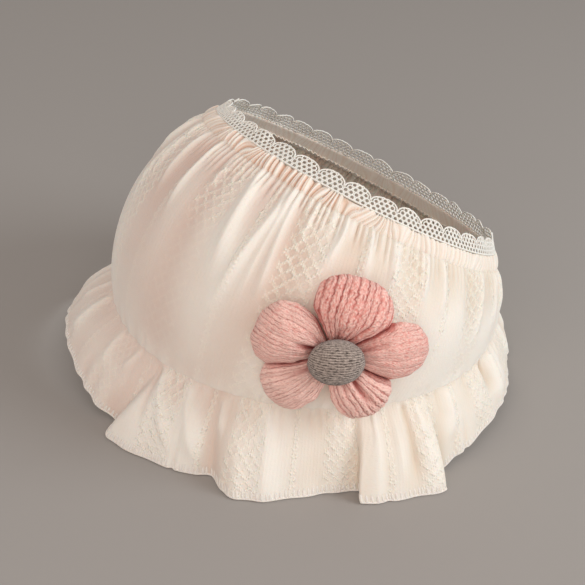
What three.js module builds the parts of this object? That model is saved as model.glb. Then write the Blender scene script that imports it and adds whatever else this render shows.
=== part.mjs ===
// Baby sun hat with an open, elasticated top: a soft cotton crown rounded over the head, a gathered
// casing, a scalloped lace edging, a ruffled brim and a padded cloth flower on the wearer's left.
// Millimetres, +Z up. The front of the hat faces -Y, and the hem rests on the plane z = 0.
import * as THREE from "three";

const degrees = THREE.MathUtils.degToRad;
const { euclideanModulo, lerp, smoothstep } = THREE.MathUtils;

// Crown: cloth rounded over a ball, drawn in at the top by the elastic
const ballHeight = 38; // the ball's centre above the surface that the hem rests on
const crownRadius = 78.4; // the middle of the cloth at the brim's seam
const topDrawIn = 2.4; // how far the elastic pulls the cloth in at the casing
const drawInPower = 4; // the pull fades quickly below the casing
const clothWall = 1.2;
const seamDrop = degrees(6); // the brim's seam lies this far below the ball's equator
const crownRows = 7;
const seamGap = 0.35; // clearance between pieces that are sewn together

// Top opening: a ring about an axis that leans back, so the front is tall and the back is low
const openingTilt = degrees(27.3);
const openingAngle = degrees(54.8); // from the opening's axis to the casing's upper edge
const casingWidth = 6.5;
const casingPuff = 2; // how far the casing stands out over its elastic
const casingEvenness = 0.25; // share of the gathers' depth that is left at the upper edge
const gathers = 30;
const columnsPerGather = 4;
const gatherDepth = 1;
const gatherStart = 0.5; // share of the crown's height where the gathers begin

// Lace edging sewn along the casing's upper edge
const laceScallops = 36;
const laceValley = 4; // height between two scallops
const lacePeak = 8; // height at the middle of a scallop
const scallopRoundness = 0.7; // 1 makes the scallop a sine wave, and less makes it fuller
const laceWall = 1;
const laceRipple = 0.6; // every other scallop leans in, and the next one out
const laceEdgeSteps = 6;
const laceHole = { halfWidth: 0.13, halfHeight: 1.2 }; // the width is a share of the scallop
const laceHoles = [
  { along: 0.25, height: 2.6 },
  { along: 0.75, height: 2.6 },
  { along: 0.5, height: 5.6 },
];

// Brim: a ruffle that hangs from the seam and falls into broad lobes with sharp turns between them
const brimWall = 1.4; // measured level, across the sloping cloth
const notchRadius = 90; // the hem between two lobes
const foldRise = 0.1; // share of a lobe that its leading turn takes
const brimBow = 0.16; // how far the ruffle bows out between seam and hem
const brimRows = 4;
const lobeStations = [0, 0.04, 0.1, 0.2, 0.34, 0.5, 0.66, 0.8, 0.9, 0.96];
// from and to: degrees round from the front towards the wearer's left. first and last: the hem's
// radius at the two ends of the lobe. fade: share of the lobe that its trailing turn takes.
// lift: the hem's height above the surface.
const lobes = [
  { from: -48, to: 3, first: 97, last: 93, fade: 0.12, lift: 9.5 },
  { from: 3, to: 36, first: 98.5, last: 95, fade: 0.12, lift: 0 },
  { from: 36, to: 65, first: 100.5, last: 90.5, fade: 0.2, lift: 0 },
  { from: 65, to: 91, first: 95, last: 99.5, fade: 0.1, lift: 0 },
  { from: 91, to: 148, first: 89.5, last: 87.5, fade: 0.14, lift: 7 },
  { from: 148, to: 176, first: 91, last: 95, fade: 0.18, lift: 3 },
  { from: 176, to: 208, first: 98.5, last: 95, fade: 0.2, lift: 0 },
  { from: 208, to: 243, first: 95, last: 97, fade: 0.18, lift: 2 },
  { from: 243, to: 278, first: 98, last: 99, fade: 0.16, lift: 0 },
  { from: 278, to: 312, first: 98, last: 98, fade: 0.16, lift: 7 },
];

// Flower: padded petals sewn down round a knitted button, all following the crown's curve
const flowerAzimuth = degrees(59.2); // from the front towards the wearer's left
const flowerRise = degrees(12.3); // above the ball's equator
const flowerClearance = 0.05; // at the cloth's highest points, and more over its flat facets
const flowerBase = crownRadius + clothWall / 2 + flowerClearance;
const petalStart = 3; // the petals' roots stop this far from the flower's middle
const petalBelly = 0.6; // where along its length a petal is widest
const tipPower = 2.3; // 2 makes the tip an ellipse, and more makes it blunter
const petalRoot = { spread: 0.4, height: 4, fullAt: 0.5 };
const petalGap = 0.3; // between neighbouring petals
const petalStations = [0, 0.12, 0.28, 0.45, 0.62, 0.78, 0.9, 0.97];
const petalSides = 10;
// angle: degrees round from the right, seen from outside. reach: from the middle to the tip.
const petals = [
  { name: "petal_top", angle: 74, reach: 26.5, width: 25, puff: 14 },
  { name: "petal_upper_left", angle: 159, reach: 27, width: 22, puff: 13 },
  { name: "petal_lower_left", angle: 217, reach: 26, width: 20, puff: 11 },
  { name: "petal_lower_right", angle: 308, reach: 26.5, width: 20, puff: 11 },
  { name: "petal_right", angle: 4, reach: 31.5, width: 19, puff: 12 },
];
const button = { halfWidth: 8.5, halfHeight: 7.1, thick: 9, seat: 6.8, sides: 14 };
const buttonStations = [-60, -30, 0, 25, 50, 72]; // degrees of latitude on the button

const ballCentre = new THREE.Vector3(0, 0, ballHeight);
const openingAxis = new THREE.Vector3(0, Math.sin(openingTilt), Math.cos(openingTilt));
const openingFront = new THREE.Vector3(0, -Math.cos(openingTilt), Math.sin(openingTilt));
const wearersLeft = new THREE.Vector3(1, 0, 0);
const topRadius = crownRadius - topDrawIn;
const casingAngle = openingAngle + casingWidth / topRadius;
const fullTurn = 2 * Math.PI;

// Direction from the ball's centre at an azimuth round the upright axis and a rise above the equator
function uprightDirection(azimuth, rise) {
  const level = Math.cos(rise);
  return new THREE.Vector3(level * Math.sin(azimuth), -level * Math.cos(azimuth), Math.sin(rise));
}

// Direction from the ball's centre at a turn round the opening's axis and an angle away from it
function openingDirection(turn, angle) {
  const ring = Math.sin(angle);
  return new THREE.Vector3()
    .addScaledVector(openingAxis, Math.cos(angle))
    .addScaledVector(openingFront, ring * Math.cos(turn))
    .addScaledVector(wearersLeft, ring * Math.sin(turn));
}

// The direction a share of the way along the arc from one direction to another
function alongArc(from, to, share) {
  const whole = from.angleTo(to);
  return new THREE.Vector3()
    .addScaledVector(from, Math.sin((1 - share) * whole) / Math.sin(whole))
    .addScaledVector(to, Math.sin(share * whole) / Math.sin(whole));
}

function fromBall(direction, distance) {
  return direction.clone().multiplyScalar(distance).add(ballCentre);
}

function geometryOf(points, triangles) {
  const geometry = new THREE.BufferGeometry().setFromPoints(points);
  geometry.setIndex(triangles);
  geometry.computeVertexNormals();
  return geometry;
}

// A closed ring: each column is one closed section, outside upwards and then inside downwards
function ringSolid(sections) {
  const size = sections[0].length;
  const triangles = [];
  sections.forEach((_, i) => {
    const here = i * size;
    const next = ((i + 1) % sections.length) * size;
    for (let j = 0; j < size; j += 1) {
      const up = (j + 1) % size;
      triangles.push(here + j, next + j, next + up, here + j, next + up, here + up);
    }
  });
  return geometryOf(sections.flat(), triangles);
}

// A closed bag: rings of points along an axis, with a fan over the first ring and one to the tip
function bagSolid(rings, start, tip) {
  const size = rings[0].length;
  const startIndex = rings.length * size;
  const last = startIndex - size;
  const triangles = [];
  for (let j = 0; j < size; j += 1) {
    const next = (j + 1) % size;
    triangles.push(startIndex, next, j, last + j, last + next, startIndex + 1);
    for (let ring = 0; ring < last; ring += size) {
      const above = ring + size;
      triangles.push(ring + j, ring + next, above + next, ring + j, above + next, above + j);
    }
  }
  return geometryOf([...rings.flat(), start, tip], triangles);
}

const gatherTurns = Array.from(
  { length: gathers * columnsPerGather },
  (_, i) => (fullTurn * i) / (gathers * columnsPerGather),
);
const gatherWave = (turn) => gatherDepth * Math.cos(gathers * turn);

// The crown's cloth: a fold line runs from the brim's seam to the casing, and t goes up along it
function crownPoint(turn, t, offset) {
  const seam = uprightDirection(turn, -seamDrop);
  const casing = openingDirection(turn, casingAngle + seamGap / topRadius);
  const drawnIn = crownRadius - topDrawIn * t ** drawInPower;
  const gathered = gatherWave(turn) * smoothstep(t, gatherStart, 1);
  return fromBall(alongArc(seam, casing, t), drawnIn + gathered + offset);
}

function crownWall() {
  const heights = Array.from({ length: crownRows + 1 }, (_, i) => i / crownRows);
  const sections = gatherTurns.map((turn) => [
    ...heights.map((t) => crownPoint(turn, t, clothWall / 2)),
    ...heights.toReversed().map((t) => crownPoint(turn, t, -clothWall / 2)),
  ]);
  return ringSolid(sections);
}

// The casing folds over the elastic: thin at both edges, standing out between them
function topCasing() {
  const edge = clothWall / 2;
  const profile = [
    { up: 0, out: edge },
    { up: casingWidth / 2, out: casingPuff },
    { up: casingWidth, out: edge },
    { up: casingWidth, out: -edge },
    { up: casingWidth / 2, out: -casingPuff / 2 },
    { up: 0, out: -edge },
  ];
  const sections = gatherTurns.map((turn) =>
    profile.map(({ up, out }) => {
      const flattened = gatherWave(turn) * lerp(1, casingEvenness, up / casingWidth);
      const direction = openingDirection(turn, casingAngle - up / topRadius);
      return fromBall(direction, topRadius + flattened + out);
    }),
  );
  return ringSolid(sections);
}

// One scallop drawn flat: x is the share along it, y the height above the casing
function scallopOutline() {
  const edge = Array.from({ length: laceEdgeSteps + 1 }, (_, i) => {
    const along = 1 - i / laceEdgeSteps;
    const rise = Math.sin(Math.PI * along) ** scallopRoundness;
    return new THREE.Vector2(along, lerp(laceValley, lacePeak, rise));
  });
  return [new THREE.Vector2(0, 0), new THREE.Vector2(1, 0), ...edge];
}

function scallopHole({ along, height }) {
  const { halfWidth, halfHeight } = laceHole;
  return [
    new THREE.Vector2(along - halfWidth, height),
    new THREE.Vector2(along, height + halfHeight),
    new THREE.Vector2(along + halfWidth, height),
    new THREE.Vector2(along, height - halfHeight),
  ];
}

// The flat drawing wrapped round the opening: scallop is its number, offset is along the ball's radius
function lacePoint(scallop, { x, y }, offset) {
  const turn = (fullTurn * (scallop + x)) / laceScallops;
  const lean = laceRipple * Math.cos((laceScallops / 2) * turn) * (y / lacePeak);
  const direction = openingDirection(turn, openingAngle - (seamGap + y) / topRadius);
  return fromBall(direction, topRadius + lean + offset);
}

// Each scallop is a pierced plate, and joins the next along the two straight sides of its outline
function laceEdging() {
  const outline = scallopOutline();
  const holes = laceHoles.map(scallopHole);
  const flat = [...outline, ...holes.flat()];
  const faces = THREE.ShapeUtils.triangulateShape(outline, holes);
  const sides = [...Array(outline.length).keys()]
    .map((i) => [i, (i + 1) % outline.length])
    .filter(([a, b]) => outline[a].x !== outline[b].x);
  holes.forEach((hole, n) => {
    const first = outline.length + n * hole.length;
    hole.forEach((_, i) => sides.push([first + i, first + ((i + 1) % hole.length)]));
  });
  const triangles = [];
  for (let scallop = 0; scallop < laceScallops; scallop += 1) {
    const outside = flat.map((point) => lacePoint(scallop, point, laceWall / 2));
    const inside = flat.map((point) => lacePoint(scallop, point, -laceWall / 2));
    faces.forEach(([a, b, c]) => {
      triangles.push(outside[a], outside[b], outside[c], inside[a], inside[c], inside[b]);
    });
    sides.forEach(([a, b]) => {
      triangles.push(outside[a], inside[a], inside[b], outside[a], inside[b], outside[b]);
    });
  }
  return geometryOf(triangles, [...triangles.keys()]);
}

// The hem's radius a share of the way along a lobe
function hemRadius({ first, last, fade }, share) {
  const turns = smoothstep(share, 0, foldRise) * smoothstep(1 - share, 0, fade);
  return lerp(notchRadius, lerp(first, last, share), turns);
}

// The middle of the brim's cloth, with t going down from the seam to the hem
function brimPoint(lobe, share, t) {
  const azimuth = degrees(lerp(lobe.from, lobe.to, share));
  const seam = fromBall(uprightDirection(0, -seamDrop), crownRadius);
  const bow = brimBow * Math.sin(Math.PI * t);
  const radius = lerp(-seam.y, hemRadius(lobe, share), t + bow);
  const hem = lobe.lift * Math.sin(Math.PI * share);
  const seamHeight = seam.z - clothWall * Math.sin(seamDrop) - seamGap;
  return new THREE.Vector3(
    radius * Math.sin(azimuth),
    -radius * Math.cos(azimuth),
    lerp(seamHeight, hem, t),
  );
}

// Each level of the brim is a closed curve, thickened to both sides within its own plane
function brimRuffle() {
  const stations = lobes.flatMap((lobe) => lobeStations.map((share) => ({ lobe, share })));
  const levels = Array.from({ length: brimRows + 1 }, (_, i) => 1 - i / brimRows);
  const curves = levels.map((t) => stations.map(({ lobe, share }) => brimPoint(lobe, share, t)));
  const across = (curve, i, offset) => {
    const before = curve.at(i - 1);
    const after = curve[(i + 1) % curve.length];
    const outward = new THREE.Vector3(after.y - before.y, before.x - after.x, 0).normalize();
    return curve[i].clone().addScaledVector(outward, offset);
  };
  const sections = stations.map((_, i) => [
    ...curves.map((curve) => across(curve, i, brimWall / 2)),
    ...curves.toReversed().map((curve) => across(curve, i, -brimWall / 2)),
  ]);
  return ringSolid(sections);
}

// A point of the flower: x runs right and y up along the crown's own curve, and out stands off it
function flowerPoint(x, y, out) {
  const middle = uprightDirection(flowerAzimuth, flowerRise);
  const right = new THREE.Vector3(Math.cos(flowerAzimuth), Math.sin(flowerAzimuth), 0);
  const up = new THREE.Vector3().crossVectors(middle, right);
  const away = Math.hypot(x, y);
  const turned = away / crownRadius;
  const direction = middle.clone().multiplyScalar(Math.cos(turned));
  if (away > 0) {
    const side = right.multiplyScalar(x).addScaledVector(up, y);
    direction.addScaledVector(side, Math.sin(turned) / away);
  }
  return fromBall(direction, flowerBase + out);
}

// How full a petal is along its length: pinched at the root, widest at the belly, round at the tip
function petalFullness(u) {
  if (u < petalBelly) {
    return lerp(petalRoot.spread, 1, Math.sin((Math.PI / 2) * (u / petalBelly)));
  }
  return (1 - ((u - petalBelly) / (1 - petalBelly)) ** tipPower) ** (1 / tipPower);
}

// Half the angle from a petal to the next one in the table, before it (-1) or after it (+1)
function halfSector(index, step) {
  const next = petals.at((index + step) % petals.length);
  const between = step * (next.angle - petals[index].angle);
  return degrees(euclideanModulo(between, 360) / 2);
}

function petal({ angle, reach, width, puff }, index) {
  const heading = degrees(angle);
  const place = (u, across, out) => {
    const along = lerp(petalStart, reach, u);
    return flowerPoint(
      along * Math.cos(heading) - across * Math.sin(heading),
      along * Math.sin(heading) + across * Math.cos(heading),
      out,
    );
  };
  const middleHeight = (u) => lerp(petalRoot.height, puff / 2, smoothstep(u, 0, petalRoot.fullAt));
  const rings = petalStations.map((u) => {
    const full = petalFullness(u);
    return Array.from({ length: petalSides }, (_, i) => {
      const round = (fullTurn * i) / petalSides;
      const out = middleHeight(u) + (puff / 2) * full * Math.sin(round);
      const side = Math.cos(round);
      const sector = halfSector(index, side < 0 ? -1 : 1);
      const room = lerp(petalStart, reach, u) * Math.tan(sector) - petalGap;
      return place(u, Math.min((width / 2) * full, room) * side, Math.max(out, 0));
    });
  });
  return bagSolid(rings, place(0, 0, petalRoot.height), place(1, 0, middleHeight(1)));
}

// The button is a padded oval that sits on the petals' roots
function flowerButton() {
  const { halfWidth, halfHeight, thick, seat, sides } = button;
  const middle = seat + thick / 2;
  const rings = buttonStations.map((latitude) => {
    const level = Math.cos(degrees(latitude));
    const out = middle + (thick / 2) * Math.sin(degrees(latitude));
    return Array.from({ length: sides }, (_, i) => {
      const round = (fullTurn * i) / sides;
      return flowerPoint(
        halfWidth * level * Math.cos(round),
        halfHeight * level * Math.sin(round),
        out,
      );
    });
  });
  return bagSolid(rings, flowerPoint(0, 0, seat), flowerPoint(0, 0, seat + thick));
}

// Colour and roughness of each cloth
const finishes = {
  cotton: { color: 0xf0e0d4, roughness: 0.92 },
  lace: { color: 0xf3f0e8, roughness: 0.9 },
  crepe: { color: 0xdd9a95, roughness: 0.95 },
  knit: { color: 0x8c8480, roughness: 0.95 },
};

const hat = new THREE.Group();

function addPiece(name, geometry, finish) {
  const piece = new THREE.Mesh(geometry, new THREE.MeshStandardMaterial({ ...finish, metalness: 0 }));
  piece.name = name;
  hat.add(piece);
}

addPiece("crown_wall", crownWall(), finishes.cotton);
addPiece("top_casing", topCasing(), finishes.cotton);
addPiece("lace_edging", laceEdging(), finishes.lace);
addPiece("brim_ruffle", brimRuffle(), finishes.cotton);
petals.forEach((row, index) => addPiece(row.name, petal(row, index), finishes.crepe));
addPiece("flower_button", flowerButton(), finishes.knit);

export default hat;
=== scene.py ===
import math
import bpy
import numpy as np
from mathutils import Matrix, Vector


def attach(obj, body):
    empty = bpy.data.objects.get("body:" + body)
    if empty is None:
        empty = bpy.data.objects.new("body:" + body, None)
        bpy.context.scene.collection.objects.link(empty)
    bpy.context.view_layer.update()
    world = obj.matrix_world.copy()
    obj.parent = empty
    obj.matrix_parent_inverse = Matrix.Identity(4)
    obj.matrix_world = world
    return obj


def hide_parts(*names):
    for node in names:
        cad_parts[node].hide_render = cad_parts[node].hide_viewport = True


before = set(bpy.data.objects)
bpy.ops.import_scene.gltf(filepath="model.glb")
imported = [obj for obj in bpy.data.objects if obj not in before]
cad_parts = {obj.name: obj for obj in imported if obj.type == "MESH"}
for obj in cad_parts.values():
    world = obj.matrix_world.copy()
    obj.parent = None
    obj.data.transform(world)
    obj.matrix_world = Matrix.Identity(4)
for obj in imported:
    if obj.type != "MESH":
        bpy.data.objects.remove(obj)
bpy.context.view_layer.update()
mm = 0.001
fullTurn = 2 * math.pi
print("frame:", len(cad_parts), "nodes")

# the hat's form, in millimetres and radians, as the solids have it
hat = {
    "ballHeight": 38.0,  # middle of the ball that the crown is rounded over
    "crownRadius": 78.4,
    "topDrawIn": 2.4,  # the elastic pulls the cloth in by this much
    "drawInPower": 4,
    "seamDrop": math.radians(6),  # the brim's seam, below the ball's middle
    "openingTilt": math.radians(27.3),
    "openingAngle": math.radians(54.8),
    "casingWidth": 6.5,
    "clothThick": 0.5,
}
hat["topRadius"] = hat["crownRadius"] - hat["topDrawIn"]
hat["casingAngle"] = hat["openingAngle"] + hat["casingWidth"] / hat["topRadius"]
ballCentre = np.array([0.0, 0.0, hat["ballHeight"]])
openingAxis = np.array([0.0, math.sin(hat["openingTilt"]), math.cos(hat["openingTilt"])])
openingFront = np.array([0.0, -math.cos(hat["openingTilt"]), math.sin(hat["openingTilt"])])
wearersLeft = np.array([1.0, 0.0, 0.0])


def smooth(x, low, high):
    share = np.clip((np.asarray(x, float) - low) / (np.asarray(high, float) - low), 0, 1)
    return share * share * (3 - 2 * share)


def mix(a, b, share):
    return a + (b - a) * share


# a value from a table of degrees, which runs from -180 to 180 with 0 at the front
def tableAt(turn, table):
    return np.interp((np.degrees(turn) + 180) % 360 - 180, *zip(*table))


def uprightDirection(azimuth, rise):
    level = np.cos(rise)
    return np.stack(np.broadcast_arrays(
        level * np.sin(azimuth), -level * np.cos(azimuth), np.sin(rise)), -1)


def openingDirection(turn, angle):
    turn, angle = np.broadcast_arrays(turn, angle)
    around = openingFront * np.cos(turn)[..., None] + wearersLeft * np.sin(turn)[..., None]
    return openingAxis * np.cos(angle)[..., None] + around * np.sin(angle)[..., None]


def alongArc(start, end, share):
    whole = np.arccos(np.clip((start * end).sum(-1), -1, 1))[..., None]
    share = np.asarray(share)[..., None]
    return (start * np.sin((1 - share) * whole) + end * np.sin(share * whole)) / np.sin(whole)


def fromBall(direction, distance):
    return ballCentre + direction * np.asarray(distance)[..., None]


# cloth never gathers into equal pleats: uneven spacing, and uneven strength
def unevenPhase(turn, count, jitter, weakest, seed):
    draw = np.random.default_rng(seed)
    knots = (np.arange(count) + jitter * draw.uniform(-0.5, 0.5, count)) * fullTurn / count
    strength = draw.uniform(weakest, 1.0, count)
    around = np.concatenate([[knots[-1] - fullTurn], knots, [knots[0] + fullTurn]])
    power = np.concatenate([[strength[-1]], strength, [strength[0]]])
    turn = np.mod(turn - knots[0], fullTurn) + knots[0]
    phase = np.interp(turn, around, fullTurn * np.arange(-1, count + 1))
    return phase, np.interp(turn, around, power)


def foldWave(turn, count, jitter, seed):
    phase, power = unevenPhase(turn, count, jitter, 0.3, seed)
    return np.cos(phase) * power


# round gathers with narrow grooves between them, 0 in a groove and up to 1 on a gather
def gatherPuff(turn, count, jitter, seed):
    phase, power = unevenPhase(turn, count, jitter, 0.6, seed)
    return np.abs(np.sin(phase / 2)) ** 0.8 * power


# a value that drifts round the hat
def drift(turn, count, low, high, seed):
    values = np.random.default_rng(seed).uniform(low, high, count)
    knots = np.arange(count + 1) * fullTurn / count
    return np.interp(np.mod(turn, fullTurn), knots, np.append(values, values[0]))


def scatterFolds(count, seed, width, height, reach, slant):
    draw = np.random.default_rng(seed)
    at = (np.arange(count) + draw.uniform(-0.45, 0.45, count)) * 360 / count
    spread = [draw.uniform(low, high, count) for low, high in (slant, width, height, reach)]
    return list(zip(at, *spread))


# narrow ridges that start at a gathered edge and die out; down goes from 0 at that edge to 1
def pinchedFolds(turn, down, radius, folds):
    lift = 0
    for at, slant, width, height, reach in folds:
        away = np.mod(turn - np.radians(at + slant * down) + math.pi, fullTurn) - math.pi
        spread = width * (1 + 1.1 * down)  # a fold widens on its way
        ridge = height * np.exp(-np.abs(away * radius / spread) ** 1.6)
        lift = lift + ridge * (1 - smooth(down, reach * 0.55, reach))
    return lift


def addObject(name, data):
    item = bpy.data.objects.new(name, data)
    bpy.context.scene.collection.objects.link(item)
    return item


def bareMesh(name, points, faces):
    mesh = bpy.data.meshes.new(name)
    mesh.from_pydata((np.asarray(points, float).reshape(-1, 3) * mm).tolist(), [], faces)
    mesh.polygons.foreach_set("use_smooth", np.ones(len(mesh.polygons), bool))
    return addObject(name, mesh)


def gridFaces(rows, columns, closeRows, closeColumns):
    i, j = np.meshgrid(np.arange(rows if closeRows else rows - 1),
                       np.arange(columns if closeColumns else columns - 1), indexing="ij")
    up, right = (i + 1) % rows, (j + 1) % columns
    corners = [(i, j), (i, right), (up, right), (up, j)]
    return np.stack([a * columns + b for a, b in corners], -1).reshape(-1, 4)


# rows x columns of points, closed round the columns; flat is u and v in millimetres of flat cloth,
# each with one row and one column more than the points need, so that no face runs back across the cloth
def gridPiece(name, points, flat=None, values=None, closeRows=False, ends=False):
    rows, columns = points.shape[:2]
    faces = gridFaces(rows, columns, closeRows, True)
    ngons = []
    if ends:
        ngons = [list(reversed(range(columns))), list(range((rows - 1) * columns, rows * columns))]
    piece = bareMesh(name, points, faces.tolist() + ngons)
    if flat is not None:
        i, j = faces[:, 0] // columns, faces[:, 0] % columns
        corners = [(i, j), (i, j + 1), (i + 1, j + 1), (i + 1, j)]
        uv = np.stack([np.stack([axis[a, b] for axis in flat], -1) for a, b in corners], 1).reshape(-1)
        uv = np.concatenate([uv, np.zeros(2 * sum(len(face) for face in ngons))])
        piece.data.uv_layers.new(name="clothMm").data.foreach_set("uv", uv)
    if not closeRows and not ends:  # a cut edge is crisp, and doesn't darken the cloth beside it
        pairs = np.zeros(2 * len(piece.data.edges), int)
        piece.data.edges.foreach_get("vertices", pairs)
        rowOf = pairs.reshape(-1, 2) // columns
        rim = (rowOf[:, 0] == rowOf[:, 1]) & np.isin(rowOf[:, 0], (0, rows - 1))
        piece.data.attributes.new("sharp_edge", "BOOLEAN", "EDGE").data.foreach_set("value", rim)
    for key, value in (values or {}).items():
        layer = piece.data.attributes.new(key, "FLOAT", "POINT")
        layer.data.foreach_set("value", np.asarray(value, np.float32).reshape(-1))
    return piece


# outward normals of a grid that is closed round its columns
def gridNormals(points):
    along = np.gradient(points, axis=0)
    across = np.roll(points, -1, 1) - np.roll(points, 1, 1)
    normal = np.cross(across, along)
    return normal / np.maximum(np.linalg.norm(normal, axis=-1, keepdims=True), 1e-9)


# many threads in one mesh: paths and outward are threads x points x 3
def threadPiece(name, paths, outward, thick, sides, closed=False):
    ahead = np.roll(paths, -1, 1) - np.roll(paths, 1, 1)
    if not closed:
        ahead[:, 0] = paths[:, 1] - paths[:, 0]
        ahead[:, -1] = paths[:, -1] - paths[:, -2]
    side = np.cross(ahead, outward)
    side /= np.linalg.norm(side, axis=-1, keepdims=True)
    lift = np.cross(side, ahead)
    lift /= np.linalg.norm(lift, axis=-1, keepdims=True)
    angle = np.arange(sides) * fullTurn / sides
    ring = side[:, :, None] * np.cos(angle)[:, None] + lift[:, :, None] * np.sin(angle)[:, None]
    threads, steps = paths.shape[:2]
    points = paths[:, :, None] + ring * np.broadcast_to(thick, steps)[:, None, None]
    first = (np.arange(threads) * steps * sides)[:, None, None]
    faces = (gridFaces(steps, sides, closed, True)[None] + first).reshape(-1, 4).tolist()
    if not closed:
        for start in first.reshape(-1).tolist():
            faces.append([start + k for k in reversed(range(sides))])
            faces.append([start + (steps - 1) * sides + k for k in range(sides)])
    return bareMesh(name, points, faces)


def thicken(piece, thick):
    wall = piece.modifiers.new("clothThickness", "SOLIDIFY")
    wall.thickness = thick * mm
    wall.offset = -1.0  # the outer face stays where it is


def dress(piece, material, slot, *nodes):
    piece.data.materials.append(material)
    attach(piece, "root")
    if nodes:
        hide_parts(*nodes)
    print("made", piece.name, len(piece.data.polygons), "faces")


def linear(hexColour):
    parts = [int(hexColour[k:k + 2], 16) / 255 for k in (1, 3, 5)]
    return [c / 12.92 if c <= 0.04045 else ((c + 0.055) / 1.055) ** 2.4 for c in parts] + [1.0]


def setInputs(tree, node, values):
    for key, value in values.items():
        if isinstance(value, bpy.types.NodeSocket):
            tree.links.new(value, node.inputs[key])
        else:
            node.inputs[key].default_value = value


def addNode(tree, kind, inputs=None, **settings):
    node = tree.nodes.new(kind)
    for key, value in settings.items():
        setattr(node, key, value)
    setInputs(tree, node, inputs or {})
    return node


# a table of sums: each row is a result's name, the operation, and names or numbers to work on
def workOut(tree, known, steps):
    for result, operation, *terms in steps:
        inputs = {k: known.get(term, term) for k, term in enumerate(terms)}
        known[result] = addNode(tree, "ShaderNodeMath", inputs, operation=operation).outputs[0]


def clothShader(name, roughness, sheen, glow):
    material = bpy.data.materials.new(name)
    material.use_nodes = True
    shader = material.node_tree.nodes["Principled BSDF"]
    setInputs(material.node_tree, shader, {
        "Roughness": roughness, "IOR": 1.5, "Specular IOR Level": 0.25,
        "Sheen Weight": sheen, "Sheen Roughness": 0.5,
        "Subsurface Weight": glow, "Subsurface Radius": (1.0, 0.6, 0.45), "Subsurface Scale": 1.5 * mm,
    })
    return material, material.node_tree, shader


cottonLook = {
    # ridge and float are the cloth's own colours; the pink and tan colours are painted shade for folds
    "ridge": "#F2EBE1", "shadePink": "#DCC4B8", "shadeTan": "#DACBB6", "float": "#FFF7E8",
    # painted shade: share of the pink shade colour round the hat, against the tan one, pinker on the dimmer
    # front left
    "pinkShadeShare": [(-180, 0.4), (-60, 0.7), (-20, 0.95), (22, 0.95), (45, 0.5), (60, 0.25), (100, 0.1),
              (140, 0.3), (180, 0.4)],
    "mottle": 20.0, "mottled": 0.24,  # mm, and how far it shifts the colour towards the painted fold shade
    "wear": 10 / 3,  # mm, patches where the floats lie flatter
    "repeat": 41.05,  # mm of flat cloth from one lattice column to the next
    "diamondWide": 4.6, "diamondTall": 5.6, "latticeHalf": 7.0,
    "ropeHalf": 0.9, "ropeRise": 1.7,
    "lineHalf": 0.95,
    "strand": 0.9, "floatStep": 1.45,  # mm, drawn about twice as coarse as the yarn, to show
    "pinRib": 1.45, "pinFrom": 8.6, "pinTo": 19.2,
    "crepe": 0.6,  # mm, grain of the cloth
    "relief": 0.38,  # mm
}
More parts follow.
